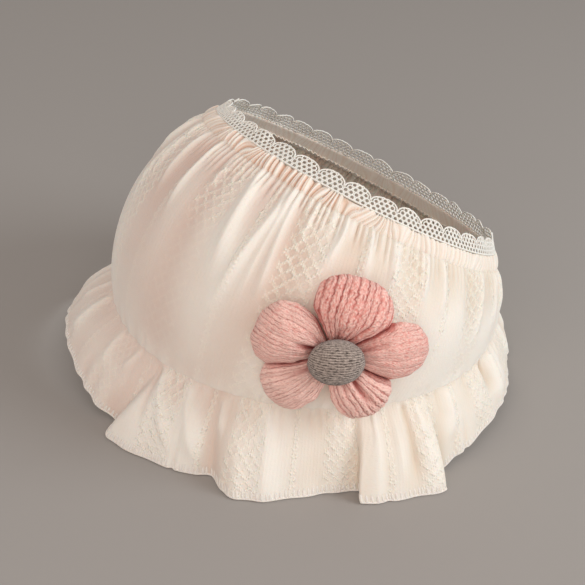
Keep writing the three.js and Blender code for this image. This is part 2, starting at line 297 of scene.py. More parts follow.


# fine white cotton with raised woven floats: matt and soft, with painted warm shade where the folds close
# up;
# latticeAt is mm along the cloth to the middle of one lattice column
def figuredCotton(name, latticeAt, figure, ribs, shadeColours=None):
    material, tree, shader = clothShader(name, roughness=0.9, sheen=0.2, glow=0.2)
    look = cottonLook
    shadePink, shadeTan = shadeColours or (look["shadePink"], look["shadeTan"])
    half = look["repeat"] / 2
    uv = addNode(tree, "ShaderNodeUVMap", uv_map="clothMm").outputs[0]
    axes = addNode(tree, "ShaderNodeSeparateXYZ", {0: uv})
    grain = addNode(tree, "ShaderNodeTexNoise", {
        "Vector": uv, "Scale": 1 / look["crepe"], "Detail": 3.0, "Roughness": 0.6})
    mottle = addNode(tree, "ShaderNodeTexNoise", {"Vector": uv, "Scale": 1 / look["mottle"], "Detail": 2.0})
    worn = addNode(tree, "ShaderNodeTexNoise", {"Vector": uv, "Scale": 1 / look["wear"], "Detail": 1.0})
    known = {
        "u": axes.outputs[0], "up": axes.outputs[1], "grain": grain.outputs[0],
        "mottle": mottle.outputs[0], "worn": worn.outputs[0],
    }
    for key in ("fold", "show", "pinkShadeShare"):
        known[key] = addNode(tree, "ShaderNodeAttribute", attribute_name=key).outputs["Fac"]
    workOut(tree, known, [
        ("shifted", "SUBTRACT", "u", latticeAt),
        ("column", "WRAP", "shifted", half, -half),
        ("away", "ABSOLUTE", "column"),
        # a column of small diamonds, three across
        ("across", "DIVIDE", "column", look["diamondWide"]),
        ("rising", "DIVIDE", "up", look["diamondTall"]),
        ("upRight", "ADD", "across", "rising"),
        ("upLeft", "SUBTRACT", "across", "rising"),
        ("offRight", "PINGPONG", "upRight", 0.5),
        ("offLeft", "PINGPONG", "upLeft", 0.5),
        ("offLine", "MINIMUM", "offRight", "offLeft"),
        ("offLineMm", "MULTIPLY", "offLine", look["diamondWide"] * 0.77),
        ("pastEdge", "SUBTRACT", "away", look["latticeHalf"]),
        ("latticeAway", "MAXIMUM", "offLineMm", "pastEdge"),
        # a rope of small diamonds midway between two lattice columns
        ("fromRope", "SUBTRACT", half, "away"),
        ("ropeZig", "PINGPONG", "up", look["ropeRise"]),
        ("ropeWide", "MULTIPLY", "ropeZig", look["ropeHalf"] / look["ropeRise"]),
        ("offRope", "SUBTRACT", "fromRope", "ropeWide"),
        ("ropeAway", "ABSOLUTE", "offRope"),
        ("lineAway", "MINIMUM", "latticeAway", "ropeAway"),
        ("lineRise", "MULTIPLY_ADD", "lineAway", -1.5 / look["lineHalf"], 1.5),
        ("lineOver", "MAXIMUM", "lineRise", 0.0),
        ("line", "MINIMUM", "lineOver", 1.0),
        # the lines are drawn by short upright floats, each strand staggered against the next
        ("strandAt", "DIVIDE", "column", look["strand"]),
        ("strandNumber", "ROUND", "strandAt"),
        ("offStrand", "SUBTRACT", "strandAt", "strandNumber"),
        ("strandBeat", "MULTIPLY", "offStrand", fullTurn),
        ("strandWave", "COSINE", "strandBeat"),
        ("strandUp", "MULTIPLY_ADD", "strandWave", 0.5, 0.5),
        ("staggered", "MULTIPLY_ADD", "strandNumber", look["floatStep"] * 0.38, "up"),
        ("floatBeat", "MULTIPLY", "staggered", fullTurn / look["floatStep"]),
        ("floatWave", "COSINE", "floatBeat"),
        ("floatUp", "MULTIPLY_ADD", "floatWave", 0.5, 0.5),
        ("floats", "MULTIPLY", "strandUp", "floatUp"),
        ("floatsHigh", "MULTIPLY_ADD", "floats", 0.6, 0.4),
        ("lineFloats", "MULTIPLY", "line", "floatsHigh"),
        ("wornShare", "MULTIPLY_ADD", "worn", 2.6 * figure, -0.55 * figure),
        ("wornFloats", "MULTIPLY", "lineFloats", "wornShare"),
        ("figure", "MULTIPLY", "wornFloats", "show"),
        # pin ribs on the plain cloth between
        ("ribBeat", "MULTIPLY", "column", fullTurn / look["pinRib"]),
        ("ribWave", "COSINE", "ribBeat"),
        ("ribUp", "MULTIPLY_ADD", "ribWave", ribs, ribs),
        ("pastLattice", "GREATER_THAN", "away", look["pinFrom"]),
        ("beforeRope", "LESS_THAN", "away", look["pinTo"]),
        ("ribField", "MULTIPLY", "pastLattice", "beforeRope"),
        ("ribPlain", "MULTIPLY", "ribUp", "ribField"),
        ("ribs", "MULTIPLY", "ribPlain", "worn"),
        ("woven", "MAXIMUM", "figure", "ribs"),
        ("height", "MULTIPLY_ADD", "grain", 0.35, "woven"),
        # painted shade: the fold value carries shade painted into folds, hollows and seams, mixed with
        # random mottle
        ("shadeAndMottle", "MULTIPLY_ADD", "mottle", look["mottled"], "fold"),
        ("shadeAndMottleShare", "SUBTRACT", "shadeAndMottle", look["mottled"] / 2),
        ("bright", "MULTIPLY", "figure", 0.95),
    ])
    bump = addNode(tree, "ShaderNodeBump", {"Height": known["height"], "Distance": look["relief"] * mm})
    fold = addNode(tree, "ShaderNodeMix", data_type="RGBA", inputs={
        "Factor": known["pinkShadeShare"], "A": linear(shadeTan), "B": linear(shadePink)})
    ground = addNode(tree, "ShaderNodeMix", data_type="RGBA", inputs={
        "Factor": known["shadeAndMottleShare"], "A": linear(look["ridge"]), "B": fold.outputs["Result"]})
    colour = addNode(tree, "ShaderNodeMix", data_type="RGBA", inputs={
        "Factor": known["bright"], "A": ground.outputs["Result"], "B": linear(look["float"])})
    setInputs(tree, shader, {"Base Color": colour.outputs["Result"], "Normal": bump.outputs[0]})
    return material


# the crown's cloth, gathered under the casing and smooth further down
crown = {
    "columns": 1155, "rows": 42, "topRows": 8,
    "pleats": 176, "pleatJitter": 0.65, "pleatDepth": 2.0, "pleatSeed": 3,
    # tight and slack gathers round the hat
    "pull": [(-180, 0.8), (-30, 0.85), (5, 1.0), (38, 1.0), (55, 0.65), (70, 0.45), (95, 0.38),
             (140, 0.8), (180, 0.8)],
    "broad": 24, "broadDepth": 0.5,
    "slack": 0.3,  # mm of each slow ripple in the lower half
    "foldRadius": 68.0,  # mm, where the folds' widths are measured
    "flowerClear": 34.0,  # mm round the flower's middle where the cloth lies flat under the petals
    "latticeAt": 11.4, "figure": 1.25, "ribs": 0.1,
    # share of the painted fold shade low on the wall, less on the lower right, and under the casing
    "lowTone": [(-180, 0.18), (-65, 0.06), (-15, 0.06), (20, 0.2), (42, 0.12), (58, 0.0), (110, 0.0),
                (150, 0.18), (180, 0.18)],
    "topTone": 0.36,
    # and more painted shade on the dimmer side left of the flower: share, turn and its spread, height and
    # its spread
    "shadeLeftOfFlower": (0.38, 0.3, 0.6, 0.4, 0.45),
    # and painted shade close under the casing: share, turn and its spread, and the heights that it comes in
    # between
    "underCasing": (0.28, -0.06, 0.22, 0.7, 0.95),
    # the floats fade out down the cloth, soonest on the shaded side: its turn and spread, then for the plain
    # and the shaded side how much is left, and the heights between which they fade
    "shaded": (0.1, 0.35), "floatsLeft": (0.35, 0.12), "fadeEnd": (0.3, 0.6), "fadeStart": (0.65, 0.85),
    # turn, slant, width, height and reach of the folds that the photo shows best
    "folds": [
        (15.75, 6.6, 2.0, 2.7, 0.56), (27.5, -9.5, 1.3, 2.2, 0.7), (29.3, 4.4, 1.2, 1.9, 0.6),
        (28.3, -2.0, 1.0, 1.2, 0.62), (-16.0, 7.0, 1.0, 1.8, 0.38), (-5.0, 3.0, 1.1, 1.9, 0.42),
        (46.8, -10.0, 1.3, 2.0, 0.34), (54.2, 3.0, 1.5, 2.1, 0.32), (63.0, 1.0, 1.2, 1.9, 0.28),
        (74.0, 0.0, 1.2, 1.6, 0.34), (81.5, 1.0, 1.3, 1.6, 0.4), (36.0, -4.0, 1.1, 1.4, 0.25),
        (4.5, -2.0, 1.0, 1.4, 0.22), (-25.0, 6.0, 1.2, 1.5, 0.4),
    ],
}


# mm of cloth from the brim's seam up to the casing
def crownLength(turn):
    seam = uprightDirection(turn, np.full(np.shape(turn), -hat["seamDrop"]))
    cosine = (seam * openingDirection(turn, hat["casingAngle"])).sum(-1)
    return np.arccos(cosine) * hat["crownRadius"]


# the unseen sides get folds of their own, long and low where the crown is short
for at, slant, width, height, reach in scatterFolds(44, 21, (1.0, 2.0), (1.0, 2.2), (0.2, 0.6), (-6.0, 6.0)):
    if 102 <= at <= 340:
        short = float(np.clip(crownLength(math.radians(at)) / 60, 0.3, 1))
        crown["folds"].append((at, slant * short, width, height * short ** 0.7, reach / short ** 0.8))


# small puckers that the crown and the brim share along their seam
def seamPucker(turn):
    return foldWave(turn, 64, 0.9, 9) * 0.3


# the crown's gathers run on up the casing
def crownPuff(turn):
    return gatherPuff(turn, crown["pleats"], crown["pleatJitter"], crown["pleatSeed"])


def crownLift(turn, t):
    pleats = (crownPuff(turn) - 0.5) * crown["pleatDepth"] * tableAt(turn, crown["pull"])
    belowCasing = (1 - t) * crownLength(turn)
    pleatEnd = np.minimum(drift(turn, 80, 6, 15, 4), crownLength(turn) * 0.6)
    pleats = pleats * (1 - smooth(belowCasing / pleatEnd, 0.3, 1))
    ridges = pinchedFolds(turn, np.maximum(1 - t, 0), crown["foldRadius"], crown["folds"])
    ridges = ridges - 0.5 * smooth(t, 0.3, 0.8)
    broad = foldWave(turn + 0.04 * t, crown["broad"], 0.9, 6) * crown["broadDepth"] * smooth(t, 0.2, 0.75)
    draw = np.random.default_rng(8)
    slack = 0
    for waves in (5, 7, 9, 12, 16):
        start, climb = draw.uniform(0, fullTurn), draw.uniform(-5, 5)
        slack = slack + crown["slack"] * np.cos(waves * turn + climb * t + start)
    held = 1 - 0.5 * smooth(t, 0.9, 1)  # the elastic holds the big folds down
    away = smooth(t, 0, 0.12)  # from the seam
    stitched = 0.1 * np.exp(-(belowCasing / 0.9) ** 2)  # pulled down along the casing's seam
    ripples = slack * (1 - smooth(t, 0.6, 1)) * away
    return pleats - stitched + (ridges + broad) * held + ripples + seamPucker(turn) * (1 - away)


def crownPoint(turn, t, lift):
    seam = uprightDirection(turn, np.full(np.shape(turn), -hat["seamDrop"]))
    casing = openingDirection(turn, hat["casingAngle"])
    drawnIn = hat["crownRadius"] - hat["topDrawIn"] * t ** hat["drawInPower"]
    return fromBall(alongArc(seam, casing, t), drawnIn + lift)


flower = {
    "azimuth": math.radians(59.2), "rise": math.radians(12.3),
    "base": hat["crownRadius"] + 0.65,
}
flowerMiddle = uprightDirection(flower["azimuth"], flower["rise"])
flowerRight = np.array([math.cos(flower["azimuth"]), math.sin(flower["azimuth"]), 0.0])
flowerUp = np.cross(flowerMiddle, flowerRight)

crownRows = np.concatenate([np.linspace(0, 0.94, crown["rows"] - crown["topRows"]),
                            np.linspace(0.955, 1.03, crown["topRows"])])
turn, t = np.meshgrid(np.arange(crown["columns"]) * fullTurn / crown["columns"], crownRows)
lift = crownLift(turn, t)
direction = crownPoint(turn, t, 0) - ballCentre
direction /= np.linalg.norm(direction, axis=-1, keepdims=True)
fromFlower = np.arccos(np.clip(direction @ flowerMiddle, -1, 1)) * hat["crownRadius"]
lift = mix(np.minimum(lift, 0.3), lift, smooth(fromFlower, crown["flowerClear"] - 6, crown["flowerClear"]))
wideTurn = np.linspace(0, fullTurn, crown["columns"] + 1)
flatUp = crownRows[:, None] * crownLength(wideTurn)
flatAround = np.broadcast_to(wideTurn * hat["crownRadius"], flatUp.shape)
signed = np.mod(turn + math.pi, fullTurn) - math.pi
# painted shade: fold colour left of the flower, under the casing, low on the wall, and in the grooves
# between gathers
most, at, spread, atHeight, tall = crown["shadeLeftOfFlower"]
shade = most * np.exp(-((signed - at) / spread) ** 2 - ((t - atHeight) / tall) ** 2)
most, at, spread, low, high = crown["underCasing"]
shade = shade + most * np.exp(-((signed - at) / spread) ** 2) * smooth(t, low, high)
tone = mix(tableAt(turn, crown["lowTone"]), crown["topTone"], smooth(t, 0.4, 0.85))
paintedFoldShade = np.clip(tone + shade - lift * mix(0.42, 0.62, smooth(t, 0.8, 0.95)), 0, 1)
paintedFoldShade = np.maximum(paintedFoldShade, 0.38 * np.exp(-((1 - t) * crownLength(turn) / 0.8) ** 2))  # painted shade along the casing's seam
sunk = lift - 0.8 * smooth(t, 1.0, 1.03)  # the top edge goes in under the casing
at, spread = crown["shaded"]
shaded = np.exp(-((signed - at) / spread) ** 2)
fade = smooth(t, mix(*crown["fadeEnd"], shaded), mix(*crown["fadeStart"], shaded))
floatShow = mix(mix(*crown["floatsLeft"], shaded), 1.0, fade)
crownCloth = gridPiece("crown_cloth", crownPoint(turn, t, sunk), (flatAround, flatUp),
                       {"fold": paintedFoldShade, "show": floatShow, "pinkShadeShare": tableAt(turn, cottonLook["pinkShadeShare"])})
thicken(crownCloth, hat["clothThick"])
cottonCrown = figuredCotton("cotton_woven_with_floats_crown", crown["latticeAt"],
                            crown["figure"], crown["ribs"])
dress(crownCloth, cottonCrown, "cotton_cloth", "crown_wall")


# the gathered casing over the elastic
casing = {
    "columns": 2240, "bulge": 0.3, "inside": -0.9, "topEvenness": 0.75,
    "finePleats": 310, "fineJitter": 0.85, "fineDepth": 0.4,  # the elastic draws it up finer than the crown
    "shadeColours": ("#D5A98E", "#E2CCB5"),  # painted shade in the gathers, pink and tan, warmer than the crown's
    "slant": 0.012,  # radians of turn per mm up the casing
    "edgeWave": 0.4,
    # mm up, and how far towards the outside, once round the casing's section
    "up": [-1.5, -0.8, -0.2, 0.3, 0.8, 1.3, 1.9, 2.5, 3.1, 3.7, 4.3, 4.9, 5.5, 6.0, 6.4, 6.5, 6.3,
           5.4, 4.4, 3.4, 2.4, 1.4, 0.2, -1.0],
    "out": [1] * 13 + [0.96, 0.78, 0.42, 0.1] + [0] * 7,
}
turn, height = np.meshgrid(np.arange(casing["columns"]) * fullTurn / casing["columns"], casing["up"])
outside = np.array(casing["out"], float)[:, None]
upShare = np.clip(height / hat["casingWidth"], 0, 1)
leaning = turn - casing["slant"] * hat["casingWidth"] * upShare * drift(turn, 60, -0.6, 1.2, 12)
puff = crownPuff(leaning)
fine = gatherPuff(leaning, casing["finePleats"], casing["fineJitter"], 14)
flush = crownLift(leaning, np.ones_like(turn)) * mix(1, casing["topEvenness"], upShare)
under = 0.5 * (1 - smooth(height, -1.5, 1.0))  # the lower edge goes in under the crown's cloth
swell = casing["bulge"] + casing["fineDepth"] * (fine - 0.5)
rise = swell * np.sin(math.pi * upShare) + 0.1 * smooth(height, 0, 1.4)
out = mix(casing["inside"] + 0 * turn, flush + rise - under, outside)
up = height + casing["edgeWave"] * (puff - 0.5) * smooth(upShare, 0.6, 1)
points = fromBall(openingDirection(turn, hat["casingAngle"] - up / hat["topRadius"]), hat["topRadius"] + out)
wideTurn = np.linspace(0, fullTurn, casing["columns"] + 1)
flatUp = np.repeat(np.linspace(0, 16, len(casing["up"]) + 1)[:, None], casing["columns"] + 1, 1)
flatAround = np.broadcast_to(wideTurn * hat["crownRadius"], flatUp.shape)
# painted shade in the casing's gathers, deepest in the grooves between them
paintedFoldShade = np.maximum(np.clip(1.25 - puff * 1.75, 0, 1), 0.75 * np.clip(1.1 - fine * 2.0, 0, 1))
paintedFoldShade = paintedFoldShade * tableAt(turn, crown["pull"]) * mix(0.4, 1, outside)
# and a faint line of painted shade along the casing's lower edge
paintedFoldShade = np.maximum(paintedFoldShade, 0.16 * np.exp(-(height / 0.8) ** 2) * outside)
values = {"fold": paintedFoldShade, "show": 0 * paintedFoldShade, "pinkShadeShare": tableAt(turn, cottonLook["pinkShadeShare"])}
casingCloth = gridPiece("casing_cloth", points, (flatAround, flatUp), values, closeRows=True)
cottonCasing = figuredCotton("cotton_woven_plain_casing", 0.0, 0.0, 0.0, casing["shadeColours"])
dress(casingCloth, cottonCasing, "cotton_cloth", "top_casing")


# the lace: rings of thread for its net, a rim along its scallops and a tape at its foot
lace = {
    "scallops": 36, "pitch": 10.6, "seamGap": 0.2, "height": 8.0,
    "cell": 2.12, "cellRise": 1.58, "firstRow": 0.85,
    "rows": [(5, 0.5), (5, 0.0), (4, 0.0), (3, 0.0)],  # cells in each row of a scallop, and its shift
    "ring": 0.86, "ringWiden": 1.06, "ringPoints": 12, "thread": 0.26,
    "rimThread": 0.3, "rimHalf": 5.2, "rimFoot": 3.0, "rimPeak": 6.5, "picot": 0.22,
    "tapeHeight": 0.1, "tapeThread": 0.35, "tapePoints": 360,
    "ripple": 0.6, "waver": 0.5,  # mm that the scallops lean by turns, and unevenly
    "colour": "#FFFCF3", "sheen": 0.15,
    "twists": 2600.0,  # across the opening, so one is about 0.05 mm
}


def lacePoint(along, height):
    turn = along / lace["pitch"] * fullTurn / lace["scallops"]
    lean = lace["ripple"] * np.cos(lace["scallops"] / 2 * turn) * height / lace["height"]
    lean = lean + foldWave(turn, 23, 0.8, 31) * lace["waver"] * height / lace["height"]
    direction = openingDirection(turn, hat["openingAngle"] - (lace["seamGap"] + height) / hat["topRadius"])
    return fromBall(direction, hat["topRadius"] + lean), direction


# cotton thread, spun and twisted: matt, near white, its edges softened by the twist
def twistedThread(name, settings):
    material, tree, shader = clothShader(name, roughness=0.85, sheen=settings["sheen"], glow=0.15)
    grain = addNode(tree, "ShaderNodeTexNoise", {"Scale": settings["twists"], "Detail": 2.0})
    bump = addNode(tree, "ShaderNodeBump", {"Height": grain.outputs[0], "Distance": 0.12 * mm})
    setInputs(tree, shader, {"Base Color": linear(settings["colour"]), "Normal": bump.outputs[0]})
    return material


cottonLace = twistedThread("cotton_lace_thread_looped", lace)
centres = []
for scallop in range(lace["scallops"]):
    for row, (cells, shift) in enumerate(lace["rows"]):
        for cell in range(cells):
            along = (scallop + 0.5) * lace["pitch"] + (cell - (cells - 1) / 2 + shift) * lace["cell"]
            centres.append((along, lace["firstRow"] + row * lace["cellRise"]))
centres = np.array(centres)
angle = np.arange(lace["ringPoints"]) * fullTurn / lace["ringPoints"]
paths, outward = lacePoint(centres[:, :1] + lace["ring"] * lace["ringWiden"] * np.cos(angle),
                           centres[:, 1:] + lace["ring"] * np.sin(angle))
laceNet = threadPiece("lace_net", paths, outward, lace["thread"], 6, closed=True)
dress(laceNet, cottonLace, "cotton_lace", "lace_edging")

share = np.linspace(-1, 1, 17)
picots = lace["picot"] * np.abs(np.sin(share * 4.5 * math.pi))  # small loops along each scallop's rim
scallopMiddle = (np.arange(lace["scallops"])[:, None] + 0.5) * lace["pitch"]
rimAlong = lace["rimHalf"] * np.sin(share * math.pi / 2) + scallopMiddle
rimHeight = mix(lace["rimFoot"], lace["rimPeak"], np.cos(share * math.pi / 2) ** 0.8) + picots
rimHeight = np.broadcast_to(rimHeight, rimAlong.shape)
paths, outward = lacePoint(rimAlong, rimHeight)
laceRim = threadPiece("lace_rim", paths, outward, lace["rimThread"], 6)
dress(laceRim, cottonLace, "cotton_lace")

along = np.arange(lace["tapePoints"]) * lace["scallops"] * lace["pitch"] / lace["tapePoints"]
path, outward = lacePoint(along, lace["tapeHeight"] + 0 * along)
laceTape = threadPiece("lace_tape", path[None], outward[None], lace["tapeThread"], 6, closed=True)
dress(laceTape, cottonLace, "cotton_lace")


# the brim's cloth falls from the seam in lobes, with a sharp turn where one lobe folds over the next
brim = {
    "columns": 1000, "rows": 40, "fall": 38.0,
    "hemLift": 0.75, "tucked": (0.9, 3.0),  # the hidden top row, in and up
    "notch": 90.0, "bow": 0.16, "foldRadius": 86.0,
    "repeats": 16, "latticeAt": 41.2,  # of the figure round the hem, and degrees to one lattice column
    "figure": 1.1, "ribs": 0.08,
    "flutes": (52, 0.45), "fineGathers": (112, 0.8), "wideGathers": (46, 0.5),  # how many, and mm
    "overhangAt": (0.1, 0.08),  # share of a lobe where it hangs over, and its spread
    # start and end in degrees from the front to the wearer's left, hem radius at both ends,
    # shares of the lobe that its leading and trailing turns take, lift of the hem, and overhang in degrees
    "lobes": [
        (-54, 4.5, 100, 93, 0.1, 0.12, 9.5, 2.5),
        (4.5, 33.5, 99.5, 91.5, 0.16, 0.12, 0, 1.9),
        (33.5, 70.5, 101.5, 86, 0.22, 0.3, 0, 0.6),
        (70.5, 89.5, 96, 99.5, 0.1, 0.1, 0, 4.6),
        (89.5, 148, 89.5, 87.5, 0.1, 0.14, 7, 1.0),
        (148, 176, 91, 95, 0.1, 0.18, 3, 1.5),
        (176, 208, 98.5, 95, 0.1, 0.2, 0, 1.8),
        (208, 243, 95, 97, 0.1, 0.18, 2, 1.8),
        (243, 278, 98, 99, 0.1, 0.16, 0, 2.0),
        (278, 306, 97, 95, 0.1, 0.16, 5, 1.8),
    ],
    # how far, in degrees, a fold at the hem has moved over where it meets the seam
    "lean": [(-48, 0), (-20, 3), (5, 6.5), (37, -3.5), (56, -2), (69, -4), (76, -4), (90, 0), (120, -3),
             (176, 4), (243, -4), (312, 0)],
    # share of the small gathers: the front left lies smooth
    "gathered": [(-48, 0.35), (-38, 0.3), (2, 0.3), (6, 1), (300, 1), (312, 0.4)],
    # share of the painted fold shade, all the way down and along the seam
    "shade": [(-48, 0.25), (2, 0.22), (8, -0.2), (28, -0.16), (34, 0.2), (40, 0.06), (46, -0.08),
              (70, -0.05), (72, 0.1), (95, 0.1), (312, 0.2)],
    "seamShade": [(-48, 0.2), (2, 0.3), (8, 0.55), (34, 0.55), (40, 0.25), (60, 0.12), (110, 0.1),
                  (312, 0.2)],
    # azimuth, slant, width, height and reach of the pinched folds that the photo shows best
    "folds": [
        (11.6, 3.2, 1.0, -1.3, 0.75), (12.6, 13.0, 1.5, 1.7, 0.9), (22.2, 8.9, 2.3, 2.2, 1.0),
        (32.5, 3.0, 1.3, 1.5, 0.5), (45.0, 1.5, 1.9, 1.6, 1.3), (57.0, 0.0, 3.0, -1.0, 1.3),
        (72.5, -1.0, 1.2, 0.8, 1.2), (77.5, 0.0, 1.2, 1.0, 0.9), (81.0, 0.0, 1.2, -2.2, 0.95),
        (84.5, 0.0, 1.8, 1.1, 1.1), (113.5, 2.0, 1.9, -2.4, 0.65), (120.0, 0.0, 3.6, 1.8, 1.0),
        (3.0, -6.0, 1.4, 1.2, 0.4), (-8.0, 4.0, 1.6, 1.3, 0.6),
    ],
}
scattered = scatterFolds(44, 41, (1.2, 2.6), (0.6, 1.8), (0.4, 1.1), (-5.0, 5.0))
brim["folds"] += [fold for fold in scattered if 94 < fold[0] < 345]  # the unseen sides
flatPerDegree = cottonLook["repeat"] * brim["repeats"] / 360

lobeOf, shareOf = [], []
for index, lobe in enumerate(brim["lobes"]):
    count = round((lobe[1] - lobe[0]) / 360 * brim["columns"])
    lobeOf += [index] * count
    shareOf += (np.arange(count) / count).tolist()
lobeTable = np.array(brim["lobes"], float)[lobeOf]
lobeFrom, lobeTo, lobeFirst, lobeLast, lobeRise, lobeFade, lobeLift, lobeOver = lobeTable.T
share = np.array(shareOf)
azimuth = mix(lobeFrom, lobeTo, share)
turns = smooth(share / lobeRise, 0, 1) * smooth((1 - share) / lobeFade, 0, 1)
hemRadius = mix(brim["notch"], mix(lobeFirst, lobeLast, share), turns)
hemHeight = lobeLift * np.sin(math.pi * share) + brim["hemLift"]
t = np.concatenate([[0], np.linspace(0, 1, brim["rows"])])[:, None]
lean = np.interp(azimuth, *zip(*brim["lean"]))
at, spread = brim["overhangAt"]
overhang = lobeOver * np.exp(-((share - at) / spread) ** 2) * smooth(t, 0, 1)
turn = np.radians(azimuth + lean * (1 - t) - overhang)
pucker = seamPucker(turn[:1])
count, depth = brim["flutes"]
flutes = foldWave(turn, count, 0.9, 44) * depth * smooth(t, 0.25, 1)
count, depth = brim["fineGathers"]
fine = (gatherPuff(turn, count, 0.9, 45) - 0.5) * depth * smooth(t, 0, 0.06) * (1 - smooth(t, 0.08, 0.4))
count, depth = brim["wideGathers"]
wide = foldWave(turn, count, 0.9, 46) * depth * smooth(t, 0, 0.1) * (1 - smooth(t, 0.2, 0.75))
gathered = np.interp(azimuth, *zip(*brim["gathered"]))
pinched = pinchedFolds(turn, t, brim["foldRadius"], brim["folds"]) * smooth(t, 0.0, 0.12)
relief = flutes + (fine + wide) * gathered + pinched
# the cloth leaves the seam upright, then flares
flare = t * t / (t + 0.05) * 1.05 + brim["bow"] * np.sin(math.pi * t) * smooth(t, 0, 0.25)
seamRadius = hat["crownRadius"] * math.cos(hat["seamDrop"]) + pucker * (1 - smooth(t, 0, 0.15))
seamHeight = hat["ballHeight"] - hat["crownRadius"] * math.sin(hat["seamDrop"])
radius = mix(seamRadius, hemRadius, flare) + relief
height = mix(seamHeight, hemHeight, t)
radius[0] -= brim["tucked"][0]  # a hidden row goes up behind the crown's edge
height[0] += brim["tucked"][1]
brimPoints = np.stack([radius * np.sin(turn), -radius * np.cos(turn), height], -1)[::-1]
wideTurn = np.append(azimuth, azimuth[0] + 360) + np.append(lean, lean[0]) * (1 - t[::-1])
flatAround = wideTurn * flatPerDegree
flatUp = np.broadcast_to(brim["fall"] * (1 - t[::-1]), flatAround.shape)
# painted shade: fold colour in the recesses where one lobe turns under the next, along the seam, by turn
# round the hat, and in the grooves between gathers
recessShade = (1 - turns) * smooth(t, 0.1, 0.6)
shade = np.interp(azimuth, *zip(*brim["shade"]))
shade = shade + np.interp(azimuth, *zip(*brim["seamShade"])) * (1 - smooth(t, 0.1, 0.5))
paintedFoldShade = np.clip(0.22 + shade - relief * 0.3 + 0.45 * recessShade, 0, 1)[::-1]
pinkShadeAt = tableAt(turn[::-1], cottonLook["pinkShadeShare"])
brimCloth = gridPiece("brim_cloth", brimPoints, (flatAround, flatUp),
                      {"fold": paintedFoldShade, "show": 0 * paintedFoldShade + gathered, "pinkShadeShare": pinkShadeAt})
thicken(brimCloth, hat["clothThick"])
cottonBrim = figuredCotton("cotton_woven_with_floats_brim", brim["latticeAt"] * flatPerDegree,
                           brim["figure"], brim["ribs"])
dress(brimCloth, cottonBrim, "cotton_cloth", "brim_ruffle")

# the hem is overlocked: a rolled edge, with threads laid over it side by side
hem = {
    "roll": 0.5, "rollSunk": 0.25, "sides": 8,
    "step": 1.75, "rows": 5, "foot": 0.3, "sunk": 0.38,
    "bar": [0.4, 0.55, 0.62, 0.62, 0.6, 0.45],  # mm, half thickness along one bar of thread
    "colour": "#F7EFE6", "sheen": 0.2,
    "twists": 2200.0,  # across the hem, so one is about 0.09 mm
}
cottonThread = twistedThread("cotton_overlock_thread_twisted", hem)
normals = gridNormals(brimPoints)
edge, edgeOut = brimPoints[0], normals[0]
hemRoll = threadPiece("hem_roll", edge[None] - edgeOut[None] * hem["rollSunk"], edgeOut[None],
                      hem["roll"], hem["sides"], closed=True)
dress(hemRoll, cottonThread, "cotton_cloth")
arc = np.concatenate([[0], np.cumsum(np.linalg.norm(np.diff(edge, axis=0), axis=1))])
picked = np.searchsorted(arc, np.arange(0, arc[-1], hem["step"]))
picked = np.unique(np.clip(picked, 0, len(edge) - 1))  # never two bars in one place
bars = brimPoints[:hem["rows"], picked] - normals[:hem["rows"], picked] * hem["sunk"]
foot = bars[:1] + (bars[:1] - bars[1:2]) * hem["foot"]
bars = np.concatenate([bars[::-1], foot]).transpose(1, 0, 2)
bars[..., 2] = np.maximum(bars[..., 2], np.array(hem["bar"]))  # none goes below the floor
barsOut = np.concatenate([normals[:hem["rows"], picked][::-1], normals[:1, picked]]).transpose(1, 0, 2)
hemStitches = threadPiece("hem_stitches", bars, barsOut, hem["bar"], hem["sides"])
dress(hemStitches, cottonThread, "cotton_cloth")


# a point of the flower: x runs right and y up along the crown's own curve, and out stands off it
def flowerPoint(x, y, out):
    away = np.maximum(np.hypot(x, y), 1e-6)
    turned = away / hat["crownRadius"]
    side = (flowerRight * x[..., None] + flowerUp * y[..., None]) * (np.sin(turned) / away)[..., None]
    return fromBall(flowerMiddle * np.cos(turned)[..., None] + side, flower["base"] + out)


# five padded petals, ribbed from root to tip and creased by the button
petal = {
    "start": 3.0, "belly": 0.6, "tipPower": 2.3, "rootSpread": 0.4, "rootHeight": 4.0,
    "fullAt": 0.5, "gap": 0.12,
    "toBelly": 56, "toTip": 64, "tipEnd": math.radians(88.6), "topSide": 104, "underside": 40,
    # angle, the angle where it meets the next petal, reach, width, puff, ribs across it, their depth in mm,
    # painted lightness, more on petals that face away from the light, and creases by the button: place,
    # depth, width, end
    "petals": {
        "petal_top": (73, 116.5, 26.5, 26, 14, 11, 0.75, 0.15, [
            (-0.42, 1.6, 0.9, 0.55), (0.3, 1.2, 0.8, 0.4), (-0.05, 0.8, 0.7, 0.3)]),
        "petal_upper_left": (159, 190, 27, 22, 13, 17, 0.42, 0.43, [
            (-0.06, 2.6, 0.9, 0.55), (0.4, 1.0, 0.7, 0.5), (-0.5, 1.0, 0.7, 0.5)]),
        "petal_lower_left": (217, 262.5, 25.5, 20, 11, 14, 0.45, 0.75, [
            (-0.5, 1.4, 0.9, 0.7), (0.2, 0.7, 0.8, 0.4)]),
        "petal_lower_right": (308, 336, 26, 20, 11, 10, 0.7, 0.56, [
            (0.1, 2.2, 1.0, 0.95), (-0.35, 1.0, 0.8, 0.5), (0.5, 0.9, 0.7, 0.5)]),
        "petal_right": (4, 31, 31.5, 19, 12, 14, 0.25, 0.26, [
            (0.55, 1.4, 1.0, 0.6), (-0.3, 0.7, 0.7, 0.4), (0.1, 0.6, 0.7, 0.35)]),
    },
    "crumple": 0.06, "crumples": 8,  # mm of each slow wave in the padding
}
crepeLook = {
    # dull and light are the crepe's own colours; the third is painted shade for grooves, creases and where
    # petals touch
    "dull": "#E78D83", "light": "#FFD6CA", "grooveShade": "#A52B22",
    "rib": 2.0, "crinkle": 0.62, "relief": 0.8,  # mm
    "blotch": 1 / 0.22, "wander": 1 / 0.6,  # mm, slow changes of tone and of the ribs' course
}
